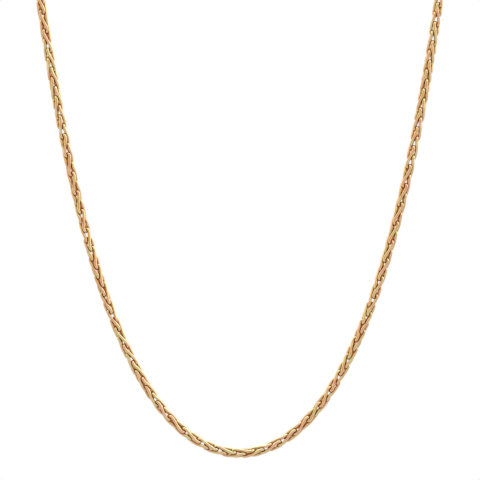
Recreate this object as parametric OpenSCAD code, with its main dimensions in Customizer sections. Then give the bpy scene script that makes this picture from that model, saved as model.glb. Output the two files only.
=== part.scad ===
// Foxtail neck chain: a closed loop of twisted links that hangs in a free curve in front
// and runs back round the neck to a plain ring clasp at the nape.
// The origin is the nape, +Z is up and the wearer faces -Y.

/* [Hang] */
// Radius of the chain's curve at its lowest point
bottom_radius = 20.44; // [18:0.01:40]
// Distance between the two legs where they leave the front plane
front_width = 107.6; // [90:0.1:120]
// Distance from the front plane back to the nape
neck_depth = 72; // [60:1:80]
// Height of the nape over the point where the legs leave the front plane
nape_rise = 22; // [10:1:40]
// How far the legs carry on upwards before they turn back
rise_reach = 25; // [15:1:35]
// How far the nape stretch runs sideways before it turns forwards
nape_reach = 57; // [50:1:65]
// How far in of a free curve the legs hang, where they do so most
leg_pull = 0.25; // [0:0.01:0.5]

/* [Links] */
// Distance from a link to the next link of its own kind where the chain pulls taut
pattern = 5.225; // [5.21:0.005:5.25]
// The same distance near the bottom, where the chain is slack
slack_pattern = 5.07; // [5.07:0.005:5.225]
// Length of the slack stretch each side of the bottom
slack_reach = 72; // [40:1:100]
// How far all the links in front lie to the left of even places
link_shift = 0.31; // [0:0.01:0.5]
// Half of the link's width, to the middle of its wire
link_half_width = 0.935; // [0.92:0.001:1]
// Length of the link's pointed end, to the middle of its wire
end_length = 0.585; // [0.55:0.005:0.65]
// How much longer the link is than the pattern, to the middle of its wire
hook = 1.178; // [1.15:0.001:1.2]
// Diameter of the link's wire across its corners
link_wire = 0.67; // [0.4:0.005:0.67]
// Twist of the link from one end to the other
link_twist = 70; // [66:1:74]

/* [Clasp] */
// Radius of the clasp's ring, to the middle of its wire
clasp_radius = 2.45; // [2.3:0.05:3]
// Thickness of the clasp's wire
clasp_wire = 1.1; // [0.9:0.05:1.2]
// Radius of the loop on the clasp, to the middle of its wire
loop_radius = 1.3; // [1.3:0.05:1.5]
// Radius of the ring at the chain's other end, to the middle of its wire
ring_radius = 1.6; // [1.5:0.05:1.8]
// Thickness of the wire of the loop and of the end ring
ring_wire = 0.7; // [0.6:0.05:0.7]
// Gap between pieces that hook into each other
hook_gap = 0.13; // [0.11:0.01:0.2]

/* [Hidden] */
$fn = 48;

wire_sides = 5;
wire_r = link_wire / 2;

// The curve in front is y = a cosh(x / a), with the legs pulled in a little half way up.
// It is worked out from the length c of the free curve, counted from the bottom.
front_x = front_width / 2;
front_c = bottom_radius * sinh(front_x / bottom_radius);
front_z = bottom_radius * (cosh(front_x / bottom_radius) - 1);
front_slope = sinh(front_x / bottom_radius);
front_steps = 80;
front_points = [for (i = [0:front_steps]) front_point(front_c * i / front_steps)];
front_lengths = running_lengths(front_points);
front_s = front_lengths[front_steps];
front_table = [for (i = [0:front_steps]) [front_lengths[i], front_c * i / front_steps]];

// Seats of the closure along X: each piece hooks into the next with the same gap.
ring_seat = clasp_wire / 2 + ring_wire / 2 + hook_gap;
tip_angle = atan2(link_half_width, end_length);
link_seat = (ring_wire / 2 + wire_r + hook_gap) / sin(tip_angle);
loop_overlap = 0.4;
loop_x = clasp_radius + clasp_wire / 2 + loop_radius + ring_wire / 2 - loop_overlap;
ring_x = -clasp_radius + ring_seat - ring_radius;
right_end = loop_x + loop_radius - link_seat;
left_end = ring_x - ring_radius + link_seat;
closure_shift = -(right_end + left_end) / 2;
chain_end = (right_end - left_end) / 2;

// The hidden stretch is one cubic curve a side, from the front leg to the nape.
leg_top = [front_x, -neck_depth, -nape_rise];
leg_way = [1, 0, front_slope] / norm([1, 0, front_slope]);
hidden = [
    leg_top,
    leg_top + rise_reach * leg_way,
    [chain_end + nape_reach, 0, 0],
    [chain_end, 0, 0]
];
hidden_steps = 80;
hidden_points = [for (i = [0:hidden_steps]) bezier(hidden, i / hidden_steps)];
hidden_lengths = running_lengths(hidden_points);
hidden_s = hidden_lengths[hidden_steps];
hidden_table = [for (i = [0:hidden_steps]) [hidden_lengths[i], i / hidden_steps]];
half_s = front_s + hidden_s;

// Links are counted from the bottom, half a link number to the first one each side.
// An even count in all puts one kind at each end.
link_half = (pattern + hook) / 2;
slack_step = slack_pattern / 2;
slack_links = slack_reach / slack_step;
taut_length = half_s - link_half - slack_reach;
link_count = 2 * round(slack_links + taut_length * 2 / pattern + 0.5);
last_link = (link_count - 1) / 2;
taut_step = taut_length / (last_link - slack_links);

function even_place(n) =
    abs(n) <= slack_links
    ? n * slack_step
    : sign(n) * (slack_reach + (abs(n) - slack_links) * taut_step);

// The shift dies away along the hidden stretch, so that the chain's ends keep their places.
function link_place(n) =
    let (to_end = half_s - link_half - abs(even_place(n)))
    even_place(n) - link_shift * min(1, to_end / (hidden_s - link_half));

// Roll of the chain about its own line: [place along the chain, turn in degrees].
end_roll = link_twist / 2;
roll_table = [
    [-half_s, 180 + end_roll],
    [-141, 190], [-133, 178], [-125, 149], [-109, 118], [-103, 100], [-94, 90],
    [-85, 82], [-79, 73], [-72, 55], [-63, 43], [-56, 28], [-49, 1],
    [-38, -39], [-33, -49], [-25, -75], [-14, -108], [-7, -119], [-2, -123],
    [5, -150], [13, -166], [21, -183], [37, -211], [50, -230], [60, -254],
    [70, -267], [80, -272], [94, -283], [99, -297], [110, -305], [121, -321],
    [133, -338], [141, -347],
    [half_s, end_roll - 360]
];

function sinh(t) = (exp(t) - exp(-t)) / 2;
function cosh(t) = (exp(t) + exp(-t)) / 2;
function asinh(t) = ln(t + sqrt(t * t + 1));
function unit(v) = v / norm(v);

function bezier(p, t) =
    pow(1 - t, 3) * p[0] + 3 * pow(1 - t, 2) * t * p[1]
    + 3 * (1 - t) * t * t * p[2] + pow(t, 3) * p[3];

// The pull is greatest a third of the way up, and nothing at the bottom and at the top.
function front_point(c) =
    let (t = c / front_c)
    [
        bottom_radius * asinh(c / bottom_radius) - leg_pull * 27 / 4 * t * pow(1 - t, 2),
        -neck_depth,
        sqrt(bottom_radius * bottom_radius + c * c) - bottom_radius - front_z - nape_rise
    ];

function running_lengths(p) = [
    for (i = 0, sum = 0; i < len(p); i = i + 1, sum = sum + (i < len(p) ? norm(p[i] - p[i - 1]) : 0)) sum
];

// Place on the right half of the route, s from 0 at the bottom.
function right_place(s) =
    s <= front_s
    ? front_point(lookup(s, front_table))
    : s <= half_s
    ? bezier(hidden, lookup(s - front_s, hidden_table))
    : [chain_end - (s - half_s), 0, 0];

function place(s) =
    let (p = right_place(abs(s)))
    s < 0 ? [-p[0], p[1], p[2]] : p;

difference_step = 0.6;
function along(s) = unit(place(s + difference_step) - place(s - difference_step));

// Level direction away from the neck: forwards in front, turning backwards to the nape.
function outward(s) =
    let (turn = 180 * max(0, min(1, (abs(s) - front_s) / hidden_s)))
    [sign(s) * sin(turn), -cos(turn), 0];

// A point given along the route and across it, with the chain's roll.
function on_route(s, across) =
    let (
        way = along(s),
        level = outward(s),
        out = unit(level - way * (level * way)),
        up = cross(out, way),
        roll = lookup(s, roll_table),
        u = across[0] * cos(roll) - across[1] * sin(roll),
        v = across[0] * sin(roll) + across[1] * cos(roll)
    )
    place(s) + u * up + v * out;

// The link before it is bent to the route: a twisted racetrack of eight corners,
// with one at each tip, two at each shoulder and one half way along each side.
// Odd links are turned a quarter and twist the other way.
shoulder = link_half - end_length;
corners = [
    [link_half, 0], [shoulder, link_half_width],
    [0, link_half_width], [-shoulder, link_half_width],
    [-link_half, 0], [-shoulder, -link_half_width],
    [0, -link_half_width], [shoulder, -link_half_width]
];
corner_count = len(corners);
bend_centre = link_half - link_half_width;

function twisted(x, y, odd) =
    let (a = (odd ? -1 : 1) * link_twist / 2 * x / link_half + (odd ? 90 : 0))
    [x, y * cos(a), y * sin(a)];

function corner(i, odd) =
    let (c = corners[i % corner_count])
    twisted(c[0], c[1], odd);

function wire_ring(i, odd) =
    let (
        here = corner(i, odd),
        before = unit(here - corner(i + corner_count - 1, odd)),
        after = unit(corner(i + 1, odd) - here),
        way = unit(before + after),
        centre = [max(-bend_centre, min(bend_centre, here[0])), 0, 0],
        raw = here - centre,
        out = unit(raw - way * (raw * way)),
        side = cross(way, out),
        stretch = 1 / sqrt((1 + before * after) / 2)
    )
    [
        for (k = [0:wire_sides - 1])
        let (a = (k + 0.5) * 360 / wire_sides)
        here + wire_r * (stretch * cos(a) * out + sin(a) * side)
    ];

function link_points(odd) = [for (i = [0:corner_count - 1]) each wire_ring(i, odd)];

even_points = link_points(false);
odd_points = link_points(true);
link_faces = [
    for (i = [0:corner_count - 1]) for (k = [0:wire_sides - 1])
    let (
        j = (i + 1) % corner_count,
        l = (k + 1) % wire_sides
    )
    each [
        [i * wire_sides + k, i * wire_sides + l, j * wire_sides + l],
        [i * wire_sides + k, j * wire_sides + l, j * wire_sides + k]
    ]
];

module link(number) {
    s = link_place(number - last_link);
    straight = number % 2 == 0 ? even_points : odd_points;
    bent = [for (p = straight) on_route(s + p[0], [p[1], p[2]])];
    polyhedron(bent, link_faces, convexity = 6);
}

module round_ring(radius, wire) {
    rotate_extrude() translate([radius, 0]) circle(d = wire);
}

module chain_left() {
    color("goldenrod") for (i = [0:link_count / 2 - 1]) link(i);
}

module chain_right() {
    color("goldenrod") for (i = [link_count / 2:link_count - 1]) link(i);
}

// The clasp is plain: a round ring with its loop soldered on.
module clasp() {
    color("gold") {
        translate([closure_shift, 0, 0]) rotate([90, 0, 0]) round_ring(clasp_radius, clasp_wire);
        translate([closure_shift + loop_x, 0, 0]) rotate([90, 0, 0]) round_ring(loop_radius, ring_wire);
    }
}

module end_ring() {
    color("gold") translate([closure_shift + ring_x, 0, 0]) round_ring(ring_radius, ring_wire);
}

chain_left();
chain_right();
clasp();
end_ring();
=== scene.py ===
"""Looks of the foxtail neck chain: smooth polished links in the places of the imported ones."""

import math

import bpy
import numpy as np
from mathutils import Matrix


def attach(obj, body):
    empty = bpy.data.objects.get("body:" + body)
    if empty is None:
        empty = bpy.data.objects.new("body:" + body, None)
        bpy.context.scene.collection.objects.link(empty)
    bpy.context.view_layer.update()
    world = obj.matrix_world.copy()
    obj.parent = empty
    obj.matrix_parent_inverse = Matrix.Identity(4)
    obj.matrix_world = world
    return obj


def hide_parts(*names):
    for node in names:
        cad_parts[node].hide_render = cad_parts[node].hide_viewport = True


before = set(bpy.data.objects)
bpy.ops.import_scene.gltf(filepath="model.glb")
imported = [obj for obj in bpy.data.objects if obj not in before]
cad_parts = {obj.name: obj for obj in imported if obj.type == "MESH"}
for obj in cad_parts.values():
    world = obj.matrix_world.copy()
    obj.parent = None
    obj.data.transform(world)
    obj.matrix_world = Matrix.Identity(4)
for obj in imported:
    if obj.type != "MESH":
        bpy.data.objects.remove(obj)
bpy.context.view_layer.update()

MM = 0.001

# The hanging curve, the places of the links and the closure, in millimetres, as in the part's source
BOTTOM_RADIUS = 20.44
FRONT_WIDTH = 107.6
NECK_DEPTH = 72
NAPE_RISE = 22
RISE_REACH = 25
NAPE_REACH = 57
LEG_PULL = 0.25
PATTERN = 5.225
SLACK_PATTERN = 5.07
SLACK_REACH = 72
LINK_SHIFT = 0.31
CAD_HALF_WIDTH = 0.935
CAD_END_LENGTH = 0.585
CAD_HOOK = 1.178
CAD_WIRE = 0.67
CAD_TWIST = 70
CLASP_RADIUS = 2.45
CLASP_WIRE = 1.1
LOOP_RADIUS = 1.3
RING_RADIUS = 1.6
RING_WIRE = 0.7
HOOK_GAP = 0.13
LOOP_OVERLAP = 0.4
CURVE_STEPS = 400
DIFFERENCE_STEP = 0.6

# Roll of the chain about its own line: millimetres along it from the bottom, and degrees.
# The rows follow a scratch program's match of the links to the photograph, thinned and rounded.
ROLLS = [
    (-141, 190), (-133, 178), (-125, 149), (-109, 118), (-103, 100), (-94, 90), (-85, 82), (-79, 73),
    (-72, 55), (-63, 43), (-56, 28), (-49, 1), (-38, -39), (-33, -49), (-25, -75), (-14, -108),
    (-7, -119), (-2, -123), (5, -150), (13, -166), (21, -183), (37, -211), (50, -230), (60, -254),
    (70, -267), (80, -272), (94, -283), (99, -297), (110, -305), (121, -321), (133, -338), (141, -347),
]

# One link of round wire, as the photograph shows it: square-shouldered, twisted along its
# length and turned back a little at both tips. Degrees to each side of the link's middle.
WIRE = 0.81
LINK_LENGTH = 6.0
SIDE_WIDTH = 0.945
SHOULDER = 12.7
ROUNDING = 3.52
TWIST = 56.8
TURN_BACK = 33.4
RINGS = 64
SIDES = 16
LINE_SAMPLES = 4000

# The gold's colour in patches, and the painted shade that darkens it to brown in the joints where little is
# open
GOLD_PATCHES = [(0.36, (0.97, 0.61, 0.4)), (0.5, (0.96, 0.695, 0.4)), (0.64, (0.91, 0.78, 0.42))]
JOINT_SHADE_BY_OPENNESS = [(0.27, (0.27, 0.08, 0.01)), (0.6, (0.65, 0.38, 0.12)), (0.92, (1, 1, 1))]
JOINT_REACH = 0.7

# Noise of the colour patches and of the fine marks in the polish, whose depth is in millimetres
PATCH_SCALE = 420
PATCH_DETAIL = 4
MARK_SCALE = 2600
MARK_DETAIL = 6
MARK_STRENGTH = 0.12
MARK_DEPTH = 0.02
LEAST_ROUGHNESS = 0.06
GREATEST_ROUGHNESS = 0.2

# Sockets of a mix node for colours, by number because its other kinds share their names
MIX_SHARE = 0
MIX_FIRST = 6
MIX_SECOND = 7
MIX_RESULT = 2

FRONT_X = FRONT_WIDTH / 2
FREE_LENGTH = BOTTOM_RADIUS * math.sinh(FRONT_X / BOTTOM_RADIUS)
FRONT_Z = BOTTOM_RADIUS * (math.cosh(FRONT_X / BOTTOM_RADIUS) - 1)
FRONT_SLOPE = math.sinh(FRONT_X / BOTTOM_RADIUS)

# Where the chain's two ends hook into the closure, along X
RING_SEAT = CLASP_WIRE / 2 + RING_WIRE / 2 + HOOK_GAP
TIP_ANGLE = math.atan2(CAD_HALF_WIDTH, CAD_END_LENGTH)
LINK_SEAT = (RING_WIRE / 2 + CAD_WIRE / 2 + HOOK_GAP) / math.sin(TIP_ANGLE)
LOOP_X = CLASP_RADIUS + CLASP_WIRE / 2 + LOOP_RADIUS + RING_WIRE / 2 - LOOP_OVERLAP
RING_X = -CLASP_RADIUS + RING_SEAT - RING_RADIUS
RIGHT_END = LOOP_X + LOOP_RADIUS - LINK_SEAT
LEFT_END = RING_X - RING_RADIUS + LINK_SEAT
CHAIN_END = (RIGHT_END - LEFT_END) / 2


def unit(v):
    return v / np.linalg.norm(v, axis=-1, keepdims=True)


def front_point(c):
    """The hanging curve at the length c of the free curve, its legs pulled in most a third of the way up."""
    t = c / FREE_LENGTH
    # 27 / 4 brings the greatest value of t * (1 - t) ** 2, which is at a third, to 1
    pull = LEG_PULL * 27 / 4 * t * (1 - t) ** 2
    return np.stack([
        BOTTOM_RADIUS * np.arcsinh(c / BOTTOM_RADIUS) - pull,
        np.full_like(c, -NECK_DEPTH),
        np.sqrt(BOTTOM_RADIUS ** 2 + c * c) - BOTTOM_RADIUS - FRONT_Z - NAPE_RISE,
    ], -1)


def running_lengths(points):
    steps = np.linalg.norm(np.diff(points, axis=0), axis=1)
    return np.concatenate([[0], np.cumsum(steps)])


def hidden_stretch():
    """Points and running lengths of the curve from the front leg to the nape."""
    top = np.array([FRONT_X, -NECK_DEPTH, -NAPE_RISE], float)
    way = unit(np.array([1, 0, FRONT_SLOPE], float))
    nape = np.array([CHAIN_END, 0, 0])
    corners = [top, top + RISE_REACH * way, nape + np.array([NAPE_REACH, 0, 0]), nape]
    t = np.linspace(0, 1, CURVE_STEPS + 1)[:, None]
    points = (
        (1 - t) ** 3 * corners[0] + 3 * (1 - t) ** 2 * t * corners[1]
        + 3 * (1 - t) * t * t * corners[2] + t ** 3 * corners[3]
    )
    return points, running_lengths(points)


FRONT_FREE = np.linspace(0, FREE_LENGTH, CURVE_STEPS + 1)
FRONT_LENGTHS = running_lengths(front_point(FRONT_FREE))
FRONT_S = FRONT_LENGTHS[-1]
HIDDEN_POINTS, HIDDEN_LENGTHS = hidden_stretch()
HIDDEN_S = HIDDEN_LENGTHS[-1]
HALF_S = FRONT_S + HIDDEN_S

# Links are counted from the bottom, half a number to the first one each side
CAD_LINK_HALF = (PATTERN + CAD_HOOK) / 2
SLACK_STEP = SLACK_PATTERN / 2
SLACK_LINKS = SLACK_REACH / SLACK_STEP
TAUT_LENGTH = HALF_S - CAD_LINK_HALF - SLACK_REACH
LINK_COUNT = 2 * round(SLACK_LINKS + TAUT_LENGTH * 2 / PATTERN + 0.5)
LAST_LINK = (LINK_COUNT - 1) / 2
TAUT_STEP = TAUT_LENGTH / (LAST_LINK - SLACK_LINKS)
END_ROLL = CAD_TWIST / 2
ROLL_S, ROLL_TURN = np.array([(-HALF_S, 180 + END_ROLL), *ROLLS, (HALF_S, END_ROLL - 360)], float).T


def link_place(n):
    """Place of a link along the route, a little to the left of even except at the chain's ends."""
    slack = min(abs(n), SLACK_LINKS)
    even = slack * SLACK_STEP + (abs(n) - slack) * TAUT_STEP
    to_end = HALF_S - CAD_LINK_HALF - even
    return math.copysign(even, n) - LINK_SHIFT * min(1, to_end / (HIDDEN_S - CAD_LINK_HALF))


def place(s):
    """Points on the route, s from 0 at the bottom and growing to the right."""
    a = np.abs(s)
    front = front_point(np.interp(a, FRONT_LENGTHS, FRONT_FREE))
    back = np.stack([np.interp(a - FRONT_S, HIDDEN_LENGTHS, HIDDEN_POINTS[:, k]) for k in range(3)], -1)
    nape = np.stack([CHAIN_END - (a - HALF_S), 0 * a, 0 * a], -1)
    p = np.where((a <= FRONT_S)[:, None], front, np.where((a <= HALF_S)[:, None], back, nape))
    p[:, 0] *= np.where(s < 0, -1, 1)
    return p


def on_route(s, across):
    """Points given along the route and across it, with the chain's roll."""
    way = unit(place(s + DIFFERENCE_STEP) - place(s - DIFFERENCE_STEP))
    turn = np.pi * np.clip((np.abs(s) - FRONT_S) / HIDDEN_S, 0, 1)
    level = np.stack([np.sign(s) * np.sin(turn), -np.cos(turn), 0 * s], -1)
    out = unit(level - way * np.sum(level * way, -1, keepdims=True))
    up = np.cross(out, way)
    roll = np.radians(np.interp(s, ROLL_S, ROLL_TURN))
    u = across[:, 0] * np.cos(roll) - across[:, 1] * np.sin(roll)
    v = across[:, 0] * np.sin(roll) + across[:, 1] * np.cos(roll)
    return place(s) + u[:, None] * up + v[:, None] * out


def link_line(odd):
    """Middle line of one link before it is bent, its points evenly spaced."""
    t = np.linspace(0, 2 * np.pi, LINE_SAMPLES, endpoint=False)
    along = np.sign(np.sin(t)) * np.abs(np.sin(t)) ** (2 / SHOULDER)
    across = SIDE_WIDTH * np.sign(np.cos(t)) * np.abs(np.cos(t)) ** (2 / ROUNDING)
    turn = np.radians(TWIST * along - TURN_BACK * along ** 5)
    turn = np.pi / 2 - turn if odd else turn
    line = np.stack([LINK_LENGTH / 2 * along, across * np.cos(turn), across * np.sin(turn)], -1)
    steps = np.linalg.norm(np.roll(line, -1, 0) - line, axis=1)
    run = np.concatenate([[0], np.cumsum(steps)])
    even = np.linspace(0, run[-1], RINGS, endpoint=False)
    closed = np.concatenate([line, line[:1]])
    return np.stack([np.interp(even, run, closed[:, k]) for k in range(3)], -1)


def link_wire(line):
    """Rings of points of round wire round a link's line, each turned outward so that none twists."""
    way = unit(np.roll(line, -1, 0) - np.roll(line, 1, 0))
    bend = LINK_LENGTH / 2 - SIDE_WIDTH
    raw = line - np.stack([np.clip(line[:, 0], -bend, bend), 0 * line[:, 0], 0 * line[:, 0]], -1)
    out = unit(raw - way * np.sum(raw * way, -1, keepdims=True))
    side = np.cross(way, out)
    a = np.linspace(0, 2 * np.pi, SIDES, endpoint=False)[None, :, None]
    return (line[:, None] + WIRE / 2 * (np.cos(a) * out[:, None] + np.sin(a) * side[:, None])).reshape(-1, 3)


def wire_faces(rings, sides):
    i, k = np.meshgrid(np.arange(rings), np.arange(sides), indexing="ij")
    j, n = (i + 1) % rings, (k + 1) % sides
    return np.stack([i * sides + k, i * sides + n, j * sides + n, j * sides + k], -1).reshape(-1, 4)


def piece(name, points, faces, material):
    """A smooth mesh in the row frame from points in millimetres."""
    mesh = bpy.data.meshes.new(name)
    mesh.from_pydata((np.asarray(points) * MM).tolist(), [], np.asarray(faces).tolist())
    mesh.polygons.foreach_set("use_smooth", np.ones(len(mesh.polygons), bool))
    mesh.materials.append(material)
    mesh.update()
    obj = bpy.data.objects.new(name, mesh)
    bpy.context.scene.collection.objects.link(obj)
    return obj


def chain_half(name, numbers, material):
    shapes = [link_wire(link_line(odd)) for odd in (False, True)]
    one = wire_faces(RINGS, SIDES)
    points, faces = [], []
    for k, number in enumerate(numbers):
        straight = shapes[number % 2]
        points.append(on_route(link_place(number - LAST_LINK) + straight[:, 0], straight[:, 1:]))
        faces.append(one + k * RINGS * SIDES)
    return piece(name, np.concatenate(points), np.concatenate(faces), material)


def ramp(nodes, links, value, stops):
    """A colour ramp over a value; the stops are (place, colour)."""
    node = nodes.new("ShaderNodeValToRGB")
    first, last = node.color_ramp.elements
    first.position, first.color = stops[0][0], (*stops[0][1], 1)
    last.position, last.color = stops[-1][0], (*stops[-1][1], 1)
    for position, colour in stops[1:-1]:
        stop = node.color_ramp.elements.new(position)
        stop.color = (*colour, 1)
    links.new(value, node.inputs["Fac"])
    return node.outputs["Color"]


def mixed(nodes, links, blend, first, second, share=1.0):
    """Two colours mixed; the second and the share may be plain values."""
    node = nodes.new("ShaderNodeMix")
    node.data_type = "RGBA"
    node.blend_type = blend
    node.clamp_factor = True
    for number, value in ((MIX_SHARE, share), (MIX_FIRST, first), (MIX_SECOND, second)):
        if isinstance(value, (float, tuple)):
            node.inputs[number].default_value = value
        else:
            links.new(value, node.inputs[number])
    return node.outputs[MIX_RESULT]


def noise(nodes, links, where, scale, detail):
    node = nodes.new("ShaderNodeTexNoise")
    node.inputs["Scale"].default_value = scale
    node.inputs["Detail"].default_value = detail
    links.new(where, node.inputs["Vector"])
    return node.outputs["Fac"]


def polished_gold(name):
    """Polished yellow gold: a little rosier and greener in patches, with painted brown shade in the joints.
    """
    material = bpy.data.materials.new(name)
    material.use_nodes = True
    nodes, links = material.node_tree.nodes, material.node_tree.links
    shader = nodes["Principled BSDF"]
    shader.inputs["Metallic"].default_value = 1.0
    where = nodes.new("ShaderNodeTexCoord").outputs["Object"]
    colour = ramp(nodes, links, noise(nodes, links, where, PATCH_SCALE, PATCH_DETAIL), GOLD_PATCHES)
    # Painted shade: the base colour is darkened to brown where ambient occlusion finds the wire closed in by
    # neighbouring links
    joint_openness = nodes.new("ShaderNodeAmbientOcclusion")
    joint_openness.inputs["Distance"].default_value = JOINT_REACH * MM
    painted_joint_shade = ramp(nodes, links, joint_openness.outputs["AO"], JOINT_SHADE_BY_OPENNESS)
    links.new(mixed(nodes, links, "MULTIPLY", colour, painted_joint_shade), shader.inputs["Base Color"])
    marks = noise(nodes, links, where, MARK_SCALE, MARK_DETAIL)
    rough = nodes.new("ShaderNodeMapRange")
    rough.inputs["To Min"].default_value = LEAST_ROUGHNESS
    rough.inputs["To Max"].default_value = GREATEST_ROUGHNESS
    links.new(marks, rough.inputs["Value"])
    links.new(rough.outputs["Result"], shader.inputs["Roughness"])
    bump = nodes.new("ShaderNodeBump")
    bump.inputs["Strength"].default_value = MARK_STRENGTH
    bump.inputs["Distance"].default_value = MARK_DEPTH * MM
    links.new(marks, bump.inputs["Height"])
    links.new(bump.outputs["Normal"], shader.inputs["Normal"])
    return material


gold = polished_gold("polished_gold")
half_count = LINK_COUNT // 2
for node, numbers in (("chain_left", range(half_count)), ("chain_right", range(half_count, LINK_COUNT))):
    half = chain_half(node + "_links", numbers, gold)
    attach(half, "root")
    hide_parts(node)

for node in ("clasp", "end_ring"):
    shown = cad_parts[node]
    shown.data.materials.clear()
    shown.data.materials.append(gold)
    shown.data.polygons.foreach_set("use_smooth", np.ones(len(shown.data.polygons), bool))


# The studio: a pale floor well below the hanging chain, in metres
FLOOR_Z = -0.25
FLOOR_RADIUS = 1.3
FLOOR_SIDES = 96
FLOOR_COLOUR = (0.61, 0.5, 0.48, 1)
FLOOR_ROUGHNESS = 0.8


def floor():
    mesh = bpy.data.meshes.new("floor")
    a = np.linspace(0, 2 * np.pi, FLOOR_SIDES, endpoint=False)
    rim = np.stack([FLOOR_RADIUS * np.cos(a), FLOOR_RADIUS * np.sin(a), np.full(FLOOR_SIDES, FLOOR_Z)], -1)
    mesh.from_pydata(rim.tolist(), [], [list(range(FLOOR_SIDES))])
    material = bpy.data.materials.new("pale_floor")
    material.use_nodes = True
    shader = material.node_tree.nodes["Principled BSDF"]
    shader.inputs["Base Color"].default_value = FLOOR_COLOUR
    shader.inputs["Roughness"].default_value = FLOOR_ROUGHNESS
    mesh.materials.append(material)
    obj = bpy.data.objects.new("floor", mesh)
    bpy.context.scene.collection.objects.link(obj)


# Light of the room by the angle from the camera's side, in degrees: brightest in a tent
# round the chain, dimmer and warmer at the camera and behind. The levels began with a
# scratch program's fit to the photograph and were then changed by hand.
TENT = [
    (180, (0.55, 0.51, 0.46)), (140, (0.65, 0.64, 0.6)), (120, (1.22, 1.46, 1.7)), (100, (1.17, 1.36, 1.54)),
    (80, (1.14, 1.09, 1.07)), (52, (0.67, 0.59, 0.5)), (29, (0.61, 0.53, 0.41)), (9, (0.62, 0.52, 0.38)),
]
# What the tent's light is multiplied by round the line of sight, in degrees from the right
# over the top: brighter from above and from the upper right, cooler from above and below,
# dimmer and warmer from the left and the lower right. These levels are the same fit's,
# rounded and in part scaled.
AROUND = [
    (-180, (0.89, 0.77, 0.59)), (-157, (0.79, 0.78, 0.61)), (-112, (0.85, 0.69, 0.92)),
    (-67, (1.02, 1.08, 1.44)), (-22, (0.65, 0.5, 0.39)), (22, (1.38, 1.35, 1.25)),
    (67, (1.15, 1.35, 1.42)), (112, (1.14, 1.5, 1.5)), (157, (0.99, 0.76, 0.57)),
    (180, (0.89, 0.77, 0.59)),
]
# The lights are divided by this to stay within a colour ramp's range, and scaled up again after it
LIGHT_PEAK = 2.0
# The differences round the line of sight fade out towards it: cosines of the angles to it at
# which there are none and at which they are full
AXIS_COSINES = (0.98, 0.8)


def room():
    """White to the camera, a tent of soft light to the chain."""
    world = bpy.data.worlds.new("studio")
    bpy.context.scene.world = world
    world.use_nodes = True
    nodes, links = world.node_tree.nodes, world.node_tree.links

    def math_node(operation, first, second=None):
        node = nodes.new("ShaderNodeMath")
        node.operation = operation
        links.new(first, node.inputs[0])
        if second is not None:
            links.new(second, node.inputs[1])
        return node.outputs["Value"]

    def ranged(value, low, high):
        node = nodes.new("ShaderNodeMapRange")
        node.inputs["From Min"].default_value = low
        node.inputs["From Max"].default_value = high
        links.new(value, node.inputs["Value"])
        return node.outputs["Result"]

    def dimmed(colour):
        return tuple(v / LIGHT_PEAK for v in colour)

    split = nodes.new("ShaderNodeSeparateXYZ")
    links.new(nodes.new("ShaderNodeTexCoord").outputs["Generated"], split.inputs["Vector"])
    x, y, z = (split.outputs[k] for k in "XYZ")
    tent = ramp(nodes, links, ranged(y, 1, -1),
                [((1 + math.cos(math.radians(angle))) / 2, dimmed(light)) for angle, light in TENT])
    around = ramp(nodes, links, ranged(math_node("ARCTAN2", z, x), -math.pi, math.pi),
                  [(angle / 360 + 0.5, dimmed(light)) for angle, light in AROUND])
    off_axis = ranged(math_node("ABSOLUTE", y), *AXIS_COSINES)
    turned = mixed(nodes, links, "MIX", (*dimmed((1, 1, 1)), 1), around, off_axis)
    strong = nodes.new("ShaderNodeVectorMath")
    strong.operation = "SCALE"
    strong.inputs["Scale"].default_value = LIGHT_PEAK ** 2
    links.new(mixed(nodes, links, "MULTIPLY", tent, turned), strong.inputs[0])
    seen = mixed(nodes, links, "MIX", strong.outputs["Vector"], (1, 1, 1, 1),
                 nodes.new("ShaderNodeLightPath").outputs["Is Camera Ray"])
    links.new(seen, nodes["Background"].inputs["Color"])


floor()
room()

# The camera stands level in front of the hanging stretch, a metre away, and frames what the
# photograph shows
CAMERA_DISTANCE = 1.0
CAMERA_SIDE = 0.05 * MM
CAMERA_HEIGHT = -86.8 * MM
FRAME_WIDTH = 129.73 * MM
SENSOR_WIDTH = 36
FARTHEST_SEEN = 20
camera_data = bpy.data.cameras.new("camera")
camera_data.sensor_width = SENSOR_WIDTH
camera_data.lens = SENSOR_WIDTH * CAMERA_DISTANCE / FRAME_WIDTH
camera_data.clip_end = FARTHEST_SEEN
camera = bpy.data.objects.new("camera", camera_data)
camera.location = (CAMERA_SIDE, -NECK_DEPTH * MM - CAMERA_DISTANCE, CAMERA_HEIGHT)
camera.rotation_euler = (math.pi / 2, 0, 0)
bpy.context.scene.collection.objects.link(camera)
bpy.context.scene.camera = camera
bpy.context.scene.view_settings.view_transform = "Standard"
